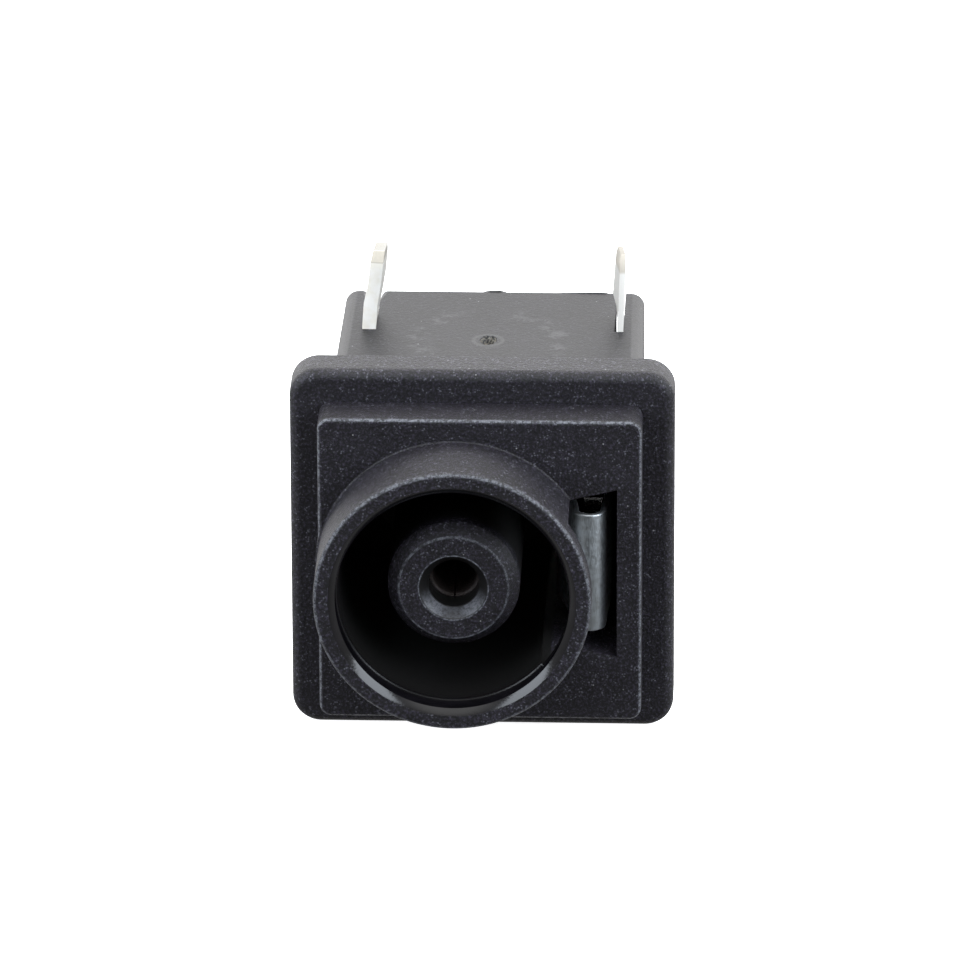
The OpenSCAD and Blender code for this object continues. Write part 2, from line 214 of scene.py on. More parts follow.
class JackContactSettings(bpy.types.PropertyGroup):
    """Sizes and colours of the two metal contacts."""

    slot_front: length("Slot front", "Distance from the flange's front to the tails", 4.92)
    pin_slot_width: length("Pin slot", "Width of the pin contact's slot", 0.36)
    sleeve_slot_width: length("Sleeve slot", "Width of the sleeve spring's slot", 0.22)
    slot_floor: length("Slot floor", "Height of the pin contact's slot floor", 2.2)
    mouth_round: length("Slot mouth", "Rounding of the slots' shoulders in the rear face", 0.22)
    mouth_reach: length("Slot mouth reach", "Length of the rounding towards the front", 0.7)
    recess_depth: length("Rear recess", "Depth of the recess in the rear face", 0.45)
    sheet: length("Sheet", "Thickness of the pin contact's sheet", 0.3)
    socket_radius: length("Socket bore", "Bore radius of the pin socket", 0.55)
    seam_width: length("Seam", "Width of the seam along the socket", 0.03)
    pin_tail_x: length("Pin tail", "Distance of the pin contact's tail from the axis", 2.36)
    tail_width: length("Tail width", "Width of both tails", 1.07)
    tail_reach: length("Tail reach", "Height of the tails above the board face", 2.0)
    tip_width: length("Tip width", "Width of the flat tip", 0.67)
    fold_radius: length("Fold", "Outer radius of the fold", 0.5)
    plate_radius: length("Plate", "Radius of the plate around the socket", 0.95)
    riser_width: length("Riser", "Width of the riser in the rear recess", 1.2)
    leg_bottom: length("Leg bottom", "Lower edge of the side leg", 2.35)
    leg_top: length("Leg top", "Upper edge of the side leg", 3.45)
    bend_height: length("Bend", "Height at which the tails start to lean", 3.95)
    strip: length("Strip", "Thickness of the spring strip", 0.15)
    strip_height: length("Strip height", "Height of the spring strip", 3.1)
    hairpin_radius: length("Hairpin", "Outer radius of the hairpin bend", 0.41)
    hairpin_reach: length("Hairpin reach", "Distance of the hairpin's outer face", 3.68)
    contact_x: length("Contact point", "Distance of the contact point from the axis", 2.5)
    contact_y: length("Contact place", "Distance of the contact point behind the flange", 1.6)
    free_end: length("Free end", "Distance of the inner leg's end behind the flange", 4.0)
    end_plate_width: length("End plate", "Width of the folded end plate", 1.6)
    end_plate_inset: length("End plate inset", "Distance of the end plate from the rear", 0.15)
    pin_tail_lean: degrees("Pin tail lean", "Sideways lean of the pin contact's tail", 8)
    sleeve_tail_lean: degrees("Sleeve tail lean", "Sideways lean of the sleeve spring's tail", 2.8)
    tin: tint("Tin", "Colour of the tinned strap", (0.86, 0.84, 0.79))
    nickel: tint("Nickel", "Colour of the plated spring", (0.42, 0.455, 0.48))


class JackStageSettings(bpy.types.PropertyGroup):
    """The floor, the lamps and the camera."""

    camera_azimuth: degrees("Camera azimuth", "Angle of the view to the right of the plug axis", 2.2)
    camera_elevation: degrees("Camera elevation", "Angle of the view above the plug axis", 23.0)
    camera_roll: degrees("Camera roll", "Roll of the view", -0.19)
    camera_distance: length("Camera distance", "Distance of the camera from its aim", 241.0)
    aim_right: length("Aim right", "Aim point to the right of the barrel's root", 0.73)
    aim_up: length("Aim up", "Aim point above the barrel's root", 2.08)
    view_width: length("View width", "Width of the view at the barrel's root", 23.68)
    floor_colour: tint("Floor", "Colour of the floor", (0.93, 0.93, 0.93))
    floor_glow: brightness("Floor glow", "Light of the lit table under the jack", 0.9)
    tent_light: brightness("Tent", "Light of the tent round the jack", 0.6)
    backdrop_light: brightness("Backdrop", "Extra light of the backdrop behind the jack", 2.2)
    overhead_light: brightness("Overhead light", "Extra light of the tent straight above the jack", 1.7)
    opening_light: brightness("Opening", "Light of the dim opening in front of the jack", 0.17)
    side_power: brightness("Side lamps", "Power of each side lamp", 1.2, "POWER")


# ---------------------------------------------------------------- shapes


def new_piece(name, bm):
    """Links a new object that holds the shape, and frees the shape."""
    mesh = bpy.data.meshes.new(name)
    bmesh.ops.remove_doubles(bm, verts=bm.verts, dist=1e-5)
    bmesh.ops.recalc_face_normals(bm, faces=bm.faces)
    bm.to_mesh(mesh)
    bm.free()
    piece = bpy.data.objects.new(name, mesh)
    bpy.context.scene.collection.objects.link(piece)
    return piece


def close_rings(rings):
    """A closed shell through rings of equal count, with a face on each end."""
    bm = bmesh.new()
    rows = [[bm.verts.new(point) for point in ring] for ring in rings]
    for lower, upper in zip(rows, rows[1:]):
        for i, vertex in enumerate(lower):
            j = (i + 1) % len(lower)
            bm.faces.new((vertex, lower[j], upper[j], upper[i]))
    bm.faces.new(rows[0])
    bm.faces.new(rows[-1])
    return bm

def quarter(radius, steps=EDGE_STEPS):
    """Offsets along a quarter round, in pairs that run from (radius, 0) to (0, radius)."""
    angles = [math.pi / 2 * step / steps for step in range(steps + 1)]
    return [(radius * (1 - math.sin(angle)), radius * (1 - math.cos(angle))) for angle in angles]


def arc(centre, radius, start, end, steps=8):
    """Points in plan along part of a circle, from one angle in degrees to another."""
    points = []
    for step in range(steps + 1):
        angle = math.radians(start + (end - start) * step / steps)
        points.append((centre[0] + radius * math.cos(angle), centre[1] + radius * math.sin(angle)))
    return points


def rounded_ring(width, height, radius, mid_x, mid_z, y):
    """Points around a rounded rectangle that stands across the plug axis."""
    points = []
    for turn, (side, level) in enumerate(((1, 1), (-1, 1), (-1, -1), (1, -1))):
        centre_x = mid_x + side * (width / 2 - radius)
        centre_z = mid_z + level * (height / 2 - radius)
        for step in range(CORNER_STEPS + 1):
            angle = math.pi / 2 * (turn + step / CORNER_STEPS)
            points.append((centre_x + radius * math.cos(angle), y, centre_z + radius * math.sin(angle)))
    return points


def soft_slab(width, height, corner, mid, front, back, front_round, back_round=0.0):
    """A rounded slab across the plug axis, with its front and back edges rounded."""
    levels = [(inset, front + depth) for inset, depth in quarter(front_round)]
    if back_round:
        levels += [(inset, back - depth) for depth, inset in quarter(back_round)]
    else:
        levels.append((0.0, back))
    return close_rings(
        [
            rounded_ring(width - 2 * inset, height - 2 * inset, corner - inset, *mid, y)
            for inset, y in levels
        ]
    )


def turned(profile, steps=ROUND_STEPS):
    """A solid turned about the plug axis from (radius, y) points that start and end on it."""
    bm = bmesh.new()
    rows = []
    for radius, y in profile:
        ring = []
        for step in range(steps if radius else 1):
            angle = 2 * math.pi * step / steps
            ring.append(bm.verts.new((radius * math.cos(angle), y, radius * math.sin(angle))))
        rows.append(ring)
    for lower, upper in zip(rows, rows[1:]):
        for i in range(steps):
            j = (i + 1) % steps
            corners = [row[k % len(row)] for row, k in ((lower, i), (lower, j), (upper, j), (upper, i))]
            bm.faces.new(list(dict.fromkeys(corners)))
    return bm


def block(low, high):
    """A plain cutting block between two corners."""
    size = Vector(high) - Vector(low)
    place = Matrix.Translation((Vector(high) + Vector(low)) / 2)
    bm = bmesh.new()
    bmesh.ops.create_cube(bm, size=1.0, matrix=place @ Matrix.Diagonal((*size, 1.0)))
    return bm


def pushed(outline, start, along):
    """A solid pushed from a flat outline of points, from start in the direction along."""
    first = [Vector(point) + Vector(start) for point in outline]
    return close_rings([first, [point + Vector(along) for point in first]])


def shape_with(piece, operation, *shapes):
    """Joins shapes to the piece or cuts them out of it."""
    for shape in shapes:
        tool = new_piece("tool", shape)
        modifier = piece.modifiers.new("shape", "BOOLEAN")
        modifier.operation = operation
        modifier.solver = "EXACT"
        modifier.object = tool
        bake_modifiers(piece)
        bpy.data.objects.remove(tool)


def bake_modifiers(piece):
    """Turns the piece's evaluated shape into its plain mesh."""
    bpy.context.view_layer.update()
    depsgraph = bpy.context.evaluated_depsgraph_get()
    mesh = bpy.data.meshes.new_from_object(piece.evaluated_get(depsgraph), depsgraph=depsgraph)
    piece.modifiers.clear()
    old = piece.data
    piece.data = mesh
    bpy.data.meshes.remove(old)


def break_edges(piece, width):
    """Softens the piece's sharp edges."""
    bm = bmesh.new()
    bm.from_mesh(piece.data)
    bmesh.ops.remove_doubles(bm, verts=bm.verts, dist=0.002)
    bmesh.ops.dissolve_limit(bm, angle_limit=FLAT, verts=bm.verts, edges=bm.edges, delimit=set())
    bm.to_mesh(piece.data)
    bm.free()
    bevel = piece.modifiers.new("edges", "BEVEL")
    bevel.limit_method = "ANGLE"
    bevel.angle_limit = SHARP
    bevel.width = width
    bevel.segments = 2
    bevel.use_clamp_overlap = True
    bake_modifiers(piece)


def finish_piece(piece, material, node):
    piece.data.transform(Matrix.Scale(MM, 4))
    piece.data.materials.clear()
    piece.data.materials.append(material)
    piece.data.shade_smooth()
    piece.data.set_sharp_from_angle(angle=SMOOTH)
    normals = piece.modifiers.new("normals", "WEIGHTED_NORMAL")
    normals.mode = "FACE_AREA"
    normals.weight = 50
    normals.keep_sharp = True
    bake_modifiers(piece)
    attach(piece, "root")
    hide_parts(node)


# ---------------------------------------------------------------- finishes


def add_node(tree, kind, inputs=None, **settings):
    """Adds a node with its settings, and gives its inputs values or links them to sockets."""
    node = tree.nodes.new(kind)
    for key, value in settings.items():
        setattr(node, key, value)
    for name, value in (inputs or {}).items():
        put(tree, value, node.inputs[name])
    return node


def put(tree, value, socket):
    """Links a socket to another one, or sets it to a value."""
    if isinstance(value, bpy.types.NodeSocket):
        tree.links.new(value, socket)
    else:
        socket.default_value = value


def smooth_range(tree, value, low, high, to_low, to_high):
    """A value that eases from to_low to to_high while another goes from low to high."""
    ends = {"From Min": low, "From Max": high, "To Min": to_low, "To Max": to_high}
    inputs = {"Value": value, **ends}
    node = add_node(tree, "ShaderNodeMapRange", inputs, interpolation_type="SMOOTHSTEP")
    return node.outputs["Result"]


def rgba(colour):
    """A socket as it is, or a colour with full opacity."""
    return colour if isinstance(colour, bpy.types.NodeSocket) else (*colour, 1.0)


def toned(colour, *shares):
    """A colour with its channels scaled by three shares, or all of them by one."""
    return [channel * share for channel, share in zip(colour, shares * (3 // len(shares)))]


class Finish:
    """A material with a Principled shader and helpers for its nodes."""

    def __init__(self, name, roughness, metallic=0.0):
        self.material = bpy.data.materials.new(name)
        self.material.use_nodes = True
        self.tree = self.material.node_tree
        self.shader = self.tree.nodes["Principled BSDF"]
        self.set("Roughness", roughness)
        self.set("Metallic", metallic)
        self.place = self.node("ShaderNodeTexCoord").outputs["Object"]

    def node(self, kind, inputs=None, **settings):
        return add_node(self.tree, kind, inputs, **settings)

    def set(self, name, value):
        """Sets an input of the shader to a value or links it to a socket."""
        put(self.tree, value, self.shader.inputs[name])

    def math(self, operation, first, second=0.0, clamp=False):
        inputs = {0: first, 1: second}
        return self.node("ShaderNodeMath", inputs, operation=operation, use_clamp=clamp).outputs[0]

    def add(self, first, second):
        return self.math("ADD", first, second)

    def times(self, first, second):
        return self.math("MULTIPLY", first, second)

    def less(self, first, second):
        return self.math("SUBTRACT", first, second)

    def off(self, value, middle_mm):
        """How far value lies from middle_mm, to either side."""
        return self.math("ABSOLUTE", self.less(value, middle_mm * MM))

    def distance(self, first, second):
        """Length of the way whose two sides are given."""
        return self.math("SQRT", self.add(self.times(first, first), self.times(second, second)))

    def ramp(self, value, low, high, to_low=0.0, to_high=1.0):
        return smooth_range(self.tree, value, low, high, to_low, to_high)

    def fade(self, value, low_mm, high_mm, to_low=0.0, to_high=1.0):
        """A ramp between two distances in millimetres."""
        return self.ramp(value, low_mm * MM, high_mm * MM, to_low, to_high)

    def noise(self, grain_mm, detail=2.0, roughness=0.5, stretch=(1, 1, 1)):
        """Soft noise whose blobs are about grain_mm across."""
        mapping = self.node("ShaderNodeMapping", {"Vector": self.place, "Scale": stretch})
        inputs = {
            "Vector": mapping.outputs["Vector"],
            "Scale": 1 / (grain_mm * MM),
            "Detail": detail,
            "Roughness": roughness,
        }
        return self.node("ShaderNodeTexNoise", inputs).outputs["Fac"]

    def cells(self, grain_mm):
        """Distance to the nearest of scattered points about grain_mm apart."""
        inputs = {"Vector": self.place, "Scale": 1 / (grain_mm * MM)}
        return self.node("ShaderNodeTexVoronoi", inputs).outputs["Distance"]

    def mix(self, share, first, second):
        inputs = {"Factor": share, "A": rgba(first), "B": rgba(second)}
        return self.node("ShaderNodeMix", inputs, data_type="RGBA").outputs["Result"]

    def layers(self, shade, *layers):
        """Paints layers of (mask, colour) over the shade, in order."""
        for mask, colour in layers:
            shade = self.mix(mask, shade, colour)
        return shade

    def axes(self):
        return self.node("ShaderNodeSeparateXYZ", {0: self.place}).outputs

    def radius(self):
        """Distance from the plug axis."""
        x, _, z = self.axes()
        return self.distance(x, z)

    def both(self, *masks):
        """The product of some masks."""
        result = masks[0]
        for mask in masks[1:]:
            result = self.math("MULTIPLY", result, mask, clamp=True)
        return result

    def either(self, *masks):
        """The greatest of some masks."""
        result = masks[0]
        for mask in masks[1:]:
            result = self.math("MAXIMUM", result, mask)
        return result

    def without(self, mask):
        return self.math("SUBTRACT", 1.0, mask, clamp=True)

    def band(self, value, middle_mm, half_mm, soft_mm):
        """One where value lies within half_mm of middle_mm, fading out over soft_mm."""
        return self.fade(self.off(value, middle_mm), half_mm + soft_mm, half_mm)

    def outline(self, mid_x, mid_z, width, height, corner):
        """Signed distance from a rounded rectangle that stands across the plug axis."""
        x, _, z = self.axes()
        over_x = self.less(self.off(x, mid_x), (width / 2 - corner) * MM)
        over_z = self.less(self.off(z, mid_z), (height / 2 - corner) * MM)
        outside = self.distance(self.either(over_x, 0.0), self.either(over_z, 0.0))
        inside = self.math("MINIMUM", self.either(over_x, over_z), 0.0)
        return self.less(self.add(outside, inside), corner * MM)

    def turned_away(self):
        """How much a surface faces away from the front of the jack."""
        geometry = self.node("ShaderNodeNewGeometry")
        normal = self.node("ShaderNodeSeparateXYZ", {0: geometry.outputs["Normal"]})
        return self.without(self.ramp(self.times(normal.outputs["Y"], -1.0), 0.1, 0.6))

    def colour(self, value):
        self.set("Base Color", rgba(value))

    def bump(self, height, depth_mm, strength=1.0):
        inputs = {"Distance": depth_mm * MM, "Strength": strength, "Height": height}
        self.set("Normal", self.node("ShaderNodeBump", inputs).outputs["Normal"])


def painted_edge_highlights(look, s):
    """Painted highlight lines along the edges of boss, rim, post and countersink."""
    _, y, _ = look.axes()
    radius = look.radius()
    post_face = RIM_Y + s.post_recess
    boss = look.outline(s.boss_shift, 0.0, s.boss_width, s.boss_height, s.boss_corner)
    boss_line = look.both(
        look.band(boss, -0.035, 0.012, 0.025),
        look.band(y, 0.03 - s.boss_depth, 0.05, 0.03),
        look.fade(radius, s.barrel_radius + 0.03, s.barrel_radius + 0.07),
    )
    rim_line = look.both(
        look.band(radius, s.barrel_radius - 0.045, 0.012, 0.04), look.fade(y, RIM_Y + 0.2, RIM_Y + 0.1)
    )
    post_line = look.both(
        look.band(radius, s.post_face_radius, 0.012, 0.03), look.band(y, post_face, 0.04, 0.04)
    )
    sink_line = look.both(
        look.band(radius, s.sink_radius + 0.01, 0.01, 0.02), look.band(y, post_face, 0.04, 0.03)
    )
    broken = look.ramp(look.noise(0.09, 4.0, 0.75), 0.42, 0.6, 0.12, 1.0)
    lines = look.either(boss_line, look.both(rim_line, 0.8), look.both(post_line, 0.7), sink_line)
    return look.both(lines, broken)


def board_face_marks(look, board_face):
    """The pit's stain, the pale ring round it and the flow marks, as three masks."""
    pit_radius, flow_radius = 0.36, 1.75
    x, y, z = look.axes()
    from_pit = look.distance(look.less(x, FLANGE_MID_X * MM), look.less(y, PIT_Y * MM))
    stain = look.both(
        board_face,
        look.fade(from_pit, pit_radius, pit_radius - 0.06),
        look.without(look.fade(z, BOARD_FACE_Z - 0.02, BOARD_FACE_Z - 0.005)),
    )
    halo = look.both(board_face, look.band(from_pit, pit_radius, 0.02, 0.06))
    flow = look.both(
        board_face,
        look.band(from_pit, flow_radius, 0.1, 0.35),
        look.ramp(look.noise(0.5, 3.0, 0.7), 0.5, 0.68),
    )
    return stain, halo, flow


def moulded_plastic(settings):
    """Black plastic: spark texture outside, polished in the bore, with painted highlights along its edges.
    """
    look = Finish("Moulded black plastic", 0.5)
    look.set("Specular IOR Level", 0.36)
    s = in_millimetres(settings)
    x, y, z = look.axes()
    radius = look.radius()
    post_face = RIM_Y + s.post_recess
    bottom = RIM_Y + s.bore_depth

    in_bore = look.both(
        look.fade(radius, s.mouth_radius + 0.01, s.mouth_radius - 0.01),
        look.fade(y, bottom + 0.3, bottom + 0.1),
    )
    post_front = look.both(
        look.fade(radius, s.sink_radius - 0.01, s.sink_radius + 0.01),
        look.fade(radius, s.post_radius + 0.03, s.post_radius + 0.01),
        look.fade(y, post_face + 0.9, post_face + 0.5),
    )
    # Painted shade: past 0.3 mm into the bore, away from the post's front, the plastic is painted one flat
    # near-black and made rougher.
    deep_shade = look.both(in_bore, look.fade(y, RIM_Y + 0.3, RIM_Y + 0.9), look.without(post_front))
    board_face = look.both(
        look.fade(z, BOARD_FACE_Z - 0.5, BOARD_FACE_Z - 0.1),
        look.fade(y, s.flange_depth + 0.02, s.flange_depth + 0.05),
    )
    textured = look.without(look.both(in_bore, look.without(post_front)))
    coarse = look.both(textured, look.ramp(board_face, 0.0, 1.0, 1.0, 0.3))
    # Painted highlight: a pale bluish crescent on the lower wall of the countersink, broken by noise.
    sink_highlight = look.both(
        look.band(radius, s.sink_radius - 0.1, 0.1, 0.01),
        look.band(y, post_face + 0.18, 0.14, 0.03),
        look.fade(z, -0.05, -0.5),
        look.fade(look.math("ABSOLUTE", x), 0.1, 0.35, 0.45, 1.0),
        look.ramp(look.noise(0.07, 3.0, 0.7), 0.35, 0.6, 0.35, 1.0),
    )
    channel_x, channel_y, channel_half_length, channel_half_height = 3.2, 3.6, 3.42, 1.68
    # Painted shade: the channel inside the housing is painted one flat dark brown and made rougher.
    channel = look.both(
        look.band(z, 0.0, channel_half_height, 0.03),
        look.band(x, channel_x, s.channel_wall - channel_x + 0.05, 0.05),
        look.band(y, channel_y, channel_half_length, 0.05),
        look.fade(radius, s.bore_radius - 0.1, s.bore_radius),
    )
    # edges holds the painted highlight lines along the boss, rim, post and countersink.
    edges = painted_edge_highlights(look, s)
    stain, halo, flow = board_face_marks(look, board_face)

    grain = look.noise(0.065, 4.0, 0.75)
    pits = look.noise(0.13, 2.0, 0.6)
    clouds = look.noise(0.8, 3.0, 0.6)
    specks = look.both(
        look.ramp(look.cells(0.07), 0.42, 0.2), look.ramp(look.noise(0.15, 2.0), 0.50, 0.62), coarse
    )
    dots = look.both(
        look.ramp(look.cells(0.24), 0.11, 0.05), look.ramp(look.noise(0.33, 1.0), 0.60, 0.64), textured
    )
    dark, pale = toned(settings.plastic, 0.6), toned(settings.plastic, 1.1)
    plain = look.mix(look.ramp(clouds, 0.35, 0.65), dark, pale)
    crumbs = look.ramp(look.noise(0.07, 2.0), 0.45, 0.6)
    shade = look.layers(
        plain,
        (look.both(look.ramp(grain, 0.48, 0.64), coarse), (0.030, 0.026, 0.040)),
        (look.both(specks, 0.75), (0.10, 0.10, 0.12)),
        (look.both(dots, 0.7), (0.30, 0.30, 0.31)),
        # painted highlight: pale bluish lines along the edges
        (look.both(edges, 0.75), (0.17, 0.18, 0.205)),
        # painted shade deep in the bore
        (deep_shade, (0.007, 0.0067, 0.0067)),
        # painted highlight in the countersink
        (look.both(sink_highlight, 0.8), (0.11, 0.115, 0.132)),
        # painted shade in the channel
        (channel, (0.020, 0.016, 0.008)),
        (look.both(halo, 0.5), (0.05, 0.05, 0.05)),
        (look.both(flow, 0.5), (0.06, 0.06, 0.063)),
        (stain, look.mix(crumbs, (0.004, 0.004, 0.004), (0.11, 0.10, 0.08))),
    )
    look.colour(shade)

    rough = look.add(look.times(textured, 0.35), 0.14)
    for mask, share in ((deep_shade, 0.25), (channel, 0.5)):
        rough = look.add(rough, look.times(mask, share))
    look.set("Roughness", look.less(rough, look.times(edges, 0.15)))
    relief = look.add(grain, look.times(pits, 0.9))
    look.bump(relief, 0.022, look.add(look.times(coarse, 0.9), 0.05))
    return look.material


def tin_plate(settings):
    """Dull ivory tin over a stamped strap, with painted shade inside the socket, and bare on the tip's
    sheared face.
    """
    look = Finish("Dull tin plate", 0.6, metallic=0.2)
    s = in_millimetres(settings)
    _, y, z = look.axes()
    tip = BOARD_FACE_Z + s.tail_reach
    plate_front = 7.1
    socket_outside = s.socket_radius + s.sheet
    streaks = look.noise(0.05, 3.0, stretch=(1, 1, 0.12))
    patches = look.ramp(look.noise(0.3, 3.0), 0.35, 0.65)
    sheared = look.band(z, tip - 0.12, 0.1, 0.03)
    # Painted shade: the inside of the socket is painted nearly black.
    socket_shade = look.both(
        look.fade(look.radius(), socket_outside + 0.05, socket_outside),
        look.fade(y, plate_front + 0.05, plate_front),
    )
    shade = look.layers(
        look.mix(patches, settings.tin, toned(settings.tin, 0.94, 0.92, 0.87)),
        (sheared, toned(settings.tin, 0.44, 0.42, 0.38)),
        (look.both(look.turned_away(), 0.65), SHADED_TIN),
        (socket_shade, (0.030, 0.022, 0.020)),
    )
    look.colour(shade)
    look.set("Roughness", look.ramp(streaks, 0.3, 0.7, 0.5, 0.7))
    look.bump(look.add(streaks, look.noise(0.09, 2.0)), 0.003)
    return look.material


def nickel_plate(settings):
    """Bright rolled strip in the channel, dull tin on the tail, with painted shade in the depth of the
    housing.
    """
    look = Finish("Bright plated strip", 0.3, metallic=1.0)
    s = in_millimetres(settings)
    _, y, z = look.axes()
    tip = BOARD_FACE_Z + s.tail_reach
    window_end, dark_from, end_plate_front = 0.4, 2.2, 7.3
    marks = look.noise(0.035, 3.0, 0.6, stretch=(1, 1, 0.3))
    patches = look.noise(0.18, 3.0, 0.6)
    dipped = look.fade(z, BOARD_FACE_Z - 0.3, BOARD_FACE_Z - 0.05)
    # Painted shade: from behind the window back to the end plate, above the dipped tail, the strip is
    # painted a dark brown.
    deep_shade = look.both(
        look.fade(y, window_end, dark_from),
        look.fade(y, end_plate_front + 0.06, end_plate_front),
        look.without(dipped),
    )
    worn = toned(settings.nickel, 0.80, 0.79, 0.77)
    strip = look.mix(look.ramp(patches, 0.38, 0.66), settings.nickel, worn)
    tin = toned(settings.tin, 0.9)
    tail = look.layers(
        tin,
        (look.fade(z, tip - 0.5, tip - 0.4), toned(tin, 0.72, 0.68, 0.62)),
        (look.both(look.turned_away(), 0.55), SHADED_TIN),
    )
    look.colour(look.layers(strip, (deep_shade, (0.03, 0.024, 0.012)), (dipped, tail)))
    look.set("Roughness", look.add(look.ramp(marks, 0.3, 0.7, 0.36, 0.56), look.times(dipped, 0.2)))
    look.set("Metallic", look.ramp(dipped, 0.0, 1.0, 1.0, 0.2))
    look.bump(look.add(marks, patches), 0.003)
    return look.material


def stage_white(settings):
    """The pale lit table under the jack."""
    look = Finish("Pale lit table", 0.9)
    look.colour(tuple(settings.floor_colour))
    look.set("Specular IOR Level", 0.0)
    look.set("Emission Color", (1.0, 1.0, 1.0, 1.0))
    look.set("Emission Strength", settings.floor_glow)
    return look.material


# ---------------------------------------------------------------- pieces


def barrel(s):
    """The barrel, with a fillet at its root and a rounded rim."""
    profile = [(0, 0), (s.barrel_radius + s.root_fillet, 0)]
    for out, forward in quarter(s.root_fillet, SMALL_EDGE_STEPS):
        profile.append((s.barrel_radius + out, -s.boss_depth - forward))
    for backward, inward in quarter(s.rim_round):
        profile.append((s.barrel_radius - inward, RIM_Y + backward))
    return turned([*profile, (0, RIM_Y)])


def body(s):
    """The drafted body behind the flange, with its rear edges rounded."""
    height = BOARD_FACE_Z + s.body_drop
    middle = (BOARD_FACE_Z - s.body_drop) / 2
    draft = math.radians(0.8)
    narrowing = 2 * math.tan(draft)
    levels = [(0.0, s.flange_depth / 2)]
    levels += [(inset, s.body_rear - depth) for depth, inset in quarter(s.rear_round, SMALL_EDGE_STEPS)]
    rings = []
    for inset, y in levels:
        width = s.body_width - narrowing * y - 2 * inset
        rings.append(
            rounded_ring(width, height - 2 * inset, s.body_round - inset, s.body_shift, middle, y)
        )
    return close_rings(rings)


def housing_outside(s):
    """The flange, boss, body and barrel as one closed shape."""
    middle = (FLANGE_MID_X, FLANGE_MID_Z)
    sides = (s.flange_width, s.flange_height, s.flange_corner)
    back_round = 0.06
    flange = soft_slab(*sides, middle, 0.0, s.flange_depth, s.flange_round, back_round)
    sides = (s.boss_width, s.boss_height, s.boss_corner)
    boss = soft_slab(*sides, (s.boss_shift, 0.0), -s.boss_depth, s.flange_depth / 2, s.boss_round)
    piece = new_piece("housing_shell", flange)
    shape_with(piece, "UNION", boss, body(s), barrel(s))
    return piece


def plug_cavity(s):
    bottom = RIM_Y + s.bore_depth
    return turned(
        [
            (0, bottom),
            (s.inner_radius, bottom),
            (s.inner_radius, RIM_Y + s.step_depth + 0.01),
            (s.bore_radius, RIM_Y + s.step_depth),
            (s.bore_radius, RIM_Y + s.mouth_depth),
            (s.mouth_radius, RIM_Y),
            (s.mouth_radius, RIM_Y - CUT),
            (0, RIM_Y - CUT),
        ]
    )


def channel_cuts(s, c):
    """The flared channel, and the passage behind it that leads through the rear wall."""
    front = RIM_Y + s.rim_ring
    bottom = RIM_Y + s.bore_depth
    flare = math.radians(13.5)
    slope = math.tan(flare)
    outer = s.channel_height / 2
    inner = (s.channel_height - 2 * (s.channel_wall - s.channel_inner) * slope) / 2
    outline = [
        (s.channel_inner, 0, -inner),
        (s.channel_wall, 0, -outer),
        (s.channel_wall, 0, outer),
        (s.channel_inner, 0, inner),
    ]
    channel = pushed(outline, (0, front, -s.channel_drop), (0, bottom - front, 0))
    play, end_play = 0.01, 0.05
    half = c.strip_height / 2 + play
    passage = block(
        (s.channel_wall - c.end_plate_width - end_play, bottom - CUT, -s.channel_drop - half),
        (s.channel_wall, s.body_rear + CUT, -s.channel_drop + half),
    )
    return channel, passage


def post_solid(s):
    face = RIM_Y + s.post_recess
    return turned(
        [
            (0, face),
            (s.post_face_radius, face),
            (s.post_radius, face + s.post_chamfer),
            (s.post_radius, RIM_Y + s.bore_depth + CUT),
            (0, RIM_Y + s.bore_depth + CUT),
        ]
    )


def pin_passage(s):
    face = RIM_Y + s.post_recess
    socket_front = face + s.sink_depth + s.pin_hole_land
    return turned(
        [
            (0, face - CUT),
            (s.sink_radius, face - CUT),
            (s.sink_radius, face),
            (s.pin_hole_radius, face + s.sink_depth),
            (s.pin_hole_radius, socket_front),
            (s.seat_radius, socket_front),
            (s.seat_radius, s.body_rear + CUT),
            (0, s.body_rear + CUT),
        ],
        steps=SMALL_ROUND_STEPS,
    )


def rear_cuts(s, c):
    """The tail slots, and the recess for the pin contact's plate, riser and fold."""
    rear = s.body_rear + CUT
    top = BOARD_FACE_Z + CUT
    floor = s.body_rear - c.recess_depth
    left = -c.pin_tail_x - c.pin_slot_width / 2
    play = 0.06
    reach = c.plate_radius + play
    fold_front = floor + c.sheet - c.fold_radius - play
    leg_top = c.leg_top + play
    return (
        block((left, c.slot_front, c.slot_floor), (left + c.pin_slot_width, rear, top)),
        block((s.channel_wall - c.sleeve_slot_width, c.slot_front, 0), (s.channel_wall, rear, top)),
        turned([(0, floor), (reach, floor), (reach, rear), (0, rear)], SMALL_ROUND_STEPS),
        block((left, floor, -reach), (0, rear, reach)),
        block((left, floor, -reach), (left + c.riser_width + 2 * play, rear, leg_top)),
        block((left, fold_front, c.slot_floor), (left + c.fold_radius + play, rear, leg_top)),
    )


def slot_mouth(middle_x, width, rounds, s, c):
    """Rounds the left and right shoulders of a tail slot, by their shares, towards the rear face."""
    top = BOARD_FACE_Z + CUT
    rings = []
    for y, share in ((s.body_rear - c.mouth_reach, 0.05), (s.body_rear, 1.0), (s.body_rear + CUT, 1.0)):
        left, right = (share * c.mouth_round * factor for factor in rounds)
        ring = [(middle_x - width / 2 - left, y, top)]
        for side, radius, start, end in ((-1, left, 90, 0), (1, right, 180, 90)):
            centre = (middle_x + side * (width / 2 + radius), BOARD_FACE_Z - radius)
            ring += [(x, y, z) for x, z in arc(centre, radius, start, end, EDGE_STEPS)]
        ring.append((middle_x + width / 2 + right, y, top))
        rings.append(ring)
    return close_rings(rings)


